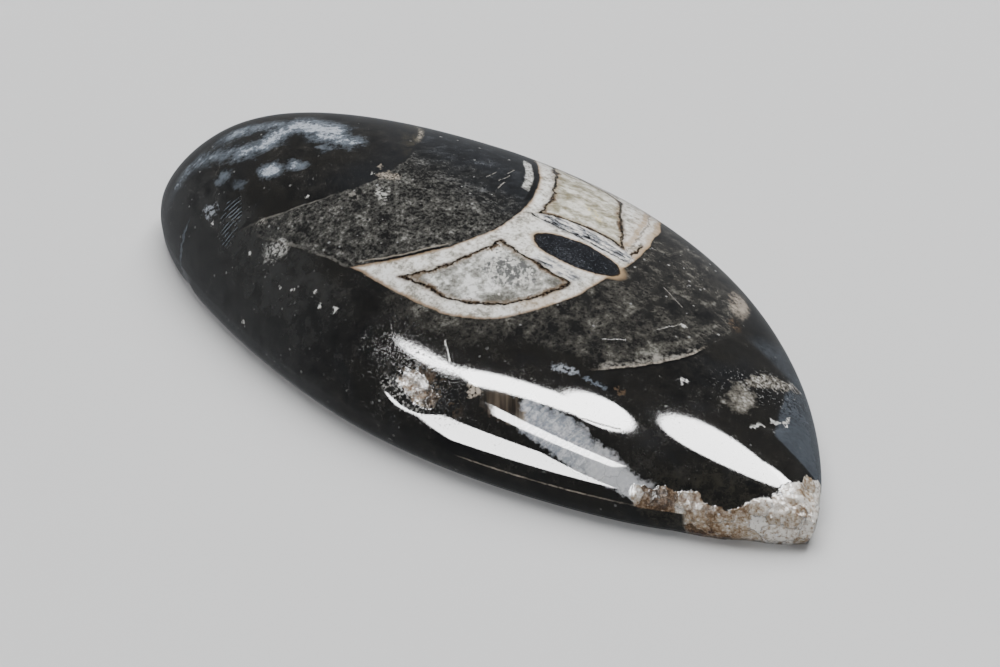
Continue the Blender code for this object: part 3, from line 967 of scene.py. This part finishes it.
def paintWearAndHighlights(at):
    g = at.g
    coat(at, at.scratches * g.rise(at.dust, 0.42, 0.54) * 0.8, "chalk")
    # painted glints: the nicks are coloured pale
    coat(at, at.nicks * 0.9, "lensPale")
    # a painted reflection along the lower edge, pale cream and broken in places, with a warmer strip under
    # it
    edge = stripe(at.z - 2.50 + (at.grit - 0.5) * 0.2, 0.08)
    breakup = between(at.x, 16.0, 31.0, 2.0) * at.near * g.rise(at.dust, 0.34, 0.5)
    # painted reflection: a pale line along the lower edge
    coat(at, edge * breakup * (g.rise(at.soft, 0.40, 0.60) * 0.5 + 0.2), "crystalCream")
    underStrip = between(at.x, 19.0, 29.0, 2.5) * at.near * g.rise(at.z, 2.3, 2.0)
    coat(at, underStrip * g.rise(at.mottle, 0.44, 0.60) * 0.6, "matrixWarm")


# how the relief of the marks shows, with its depth in metres, and how strongly the polish reflects
bumps = {"strength": 0.5, "depth": 0.00012}
refractiveIndex = 1.5


def makeStoneFinish():
    material = bpy.data.materials.new("polishedFossilLimestone")
    material.use_nodes = True
    g = NodeGraph(material.node_tree)
    at = patternFields(g)
    markRelief(at)
    settleFields(at)
    for paint in (paintMatrix, paintSediment, paintSepta, paintCalcite, paintLenses, paintSiphuncle,
                  paintBluntEnd, paintPoint, paintFlank, paintWearAndHighlights):
        paint(at)
        print("painted:", paint.__name__)
    # the flat underside is ground, not polished
    under = g.rise(at.z, 0.5, 0.15)
    coat(at, under * 0.5, "groundBase")
    bump = g.add("ShaderNodeBump", None,
                 {"Strength": bumps["strength"], "Distance": bumps["depth"], "Height": at.height})
    rough = at.rough + under * gloss["underside"]
    shader = g.add("ShaderNodeBsdfPrincipled", None,
                   {"Base Color": at.colour, "Roughness": rough, "Normal": bump, "IOR": refractiveIndex})
    g.add("ShaderNodeOutputMaterial", None, {"Surface": shader})
    return material


# floor, lights and camera: metres, watts and degrees, the lens and sensor in mm
studio = {
    "floorTone": (0.62, 0.62, 0.62),
    "worldTone": (0.55, 0.57, 0.60),
    "worldStrength": 0.32,
    "floorSize": 6.0,
    "floorRoughness": 0.6,
    "target": (-0.00152, 0.00130, 0.0),
    "azimuth": 45.98,
    "elevation": 29.85,
    "distance": 0.27791,
    "lens": 100.0,
    "sensor": 36.0,
    "nearest": 0.01,
}
# each softbox: shape, centre, long side, short side, direction of the long side, facing, power
# they are seen in the polish only; the wide light lights everything and isn't seen in it
down, ahead = (0.0, 0.0, -1.0), (0.0, 1.0, 0.0)
softboxes = {
    "longStrip": ("RECTANGLE", (-0.161, -0.183, 0.60), 0.261, 0.060, (0.535, 0.845, 0.0), down, 4.5),
    "longStripTip": ("ELLIPSE", (-0.079, -0.038, 0.60), 0.175, 0.073, (-0.076, 0.997, 0.0), down, 2.9),
    "longStripEnd": ("ELLIPSE", (-0.308, -0.316, 0.60), 0.167, 0.070, (0.80, 0.60, 0.0), down, 2.6),
    "tipBox": ("ELLIPSE", (0.018, 0.215, 0.60), 0.30, 0.138, (0.24, 0.97, 0.0), down, 7.5),
    "tipTail": ("ELLIPSE", (0.055, 0.350, 0.60), 0.42, 0.072, (0.24, 0.97, 0.0), down, 6.5),
    "thinStrip": ("RECTANGLE", (-0.055, -0.455, 0.60), 0.22, 0.125, (1.0, 0.0, 0.0), down, 6.0),
    "frontBox": ("RECTANGLE", (-0.105, -0.60, 0.149), 0.34, 0.30, (0.861, 0.0, 0.509), ahead, 20.0),
}
wideLight = {"centre": (-0.25, 0.30, 0.75), "side": 0.9, "power": 16.0}


def makeLamp(name, shape, centre, longSide, shortSide, along, facing, power):
    light = bpy.data.lights.new(name, "AREA")
    light.shape = shape
    light.size = longSide
    light.size_y = shortSide
    light.energy = power
    lamp = bpy.data.objects.new(name, light)
    bpy.context.scene.collection.objects.link(lamp)
    zAxis = -Vector(facing).normalized()
    xAxis = Vector(along).normalized()
    yAxis = zAxis.cross(xAxis)
    lamp.matrix_world = Matrix((xAxis, yAxis, zAxis)).transposed().to_4x4()
    lamp.location = centre
    return lamp


def makeStudio():
    bpy.ops.mesh.primitive_plane_add(size=studio["floorSize"], location=(0.0, 0.0, 0.0))
    floor = bpy.context.active_object
    floor.name = "paleFloor"
    floor.visible_glossy = False
    material = bpy.data.materials.new("paleFloor")
    material.use_nodes = True
    g = NodeGraph(material.node_tree)
    shader = g.add("ShaderNodeBsdfPrincipled", None,
                   {"Base Color": (*studio["floorTone"], 1.0), "Roughness": studio["floorRoughness"]})
    g.add("ShaderNodeOutputMaterial", None, {"Surface": shader})
    floor.data.materials.append(material)
    world = bpy.data.worlds.new("studioWorld")
    world.use_nodes = True
    background = world.node_tree.nodes["Background"]
    background.inputs["Color"].default_value = (*studio["worldTone"], 1.0)
    background.inputs["Strength"].default_value = studio["worldStrength"]
    bpy.context.scene.world = world
    for name, values in softboxes.items():
        makeLamp(name, *values).visible_diffuse = False
    toStone = -Vector(wideLight["centre"]).normalized()
    sideways = toStone.cross(Vector((0.0, 0.0, 1.0)))
    wide = makeLamp("wideLight", "SQUARE", wideLight["centre"], wideLight["side"], wideLight["side"],
                    sideways, toStone, wideLight["power"])
    wide.visible_glossy = False


def makeCamera():
    camera = bpy.data.cameras.new("camera")
    camera.lens = studio["lens"]
    camera.sensor_width = studio["sensor"]
    camera.clip_start = studio["nearest"]
    view = bpy.data.objects.new("camera", camera)
    bpy.context.scene.collection.objects.link(view)
    a, e = radians(studio["azimuth"]), radians(studio["elevation"])
    back = Vector((sin(a) * cos(e), -cos(a) * cos(e), sin(e)))
    view.location = Vector(studio["target"]) + back * studio["distance"]
    view.rotation_euler = (-back).to_track_quat("-Z", "Y").to_euler()
    bpy.context.scene.camera = view


makeCamera()
makeStudio()
print("studio ready")
finish = makeStoneFinish()
print("finish ready:", len(finish.node_tree.nodes), "nodes")
stone = makeStone(finish)
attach(stone, "root")
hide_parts("polished_fossil_stone")
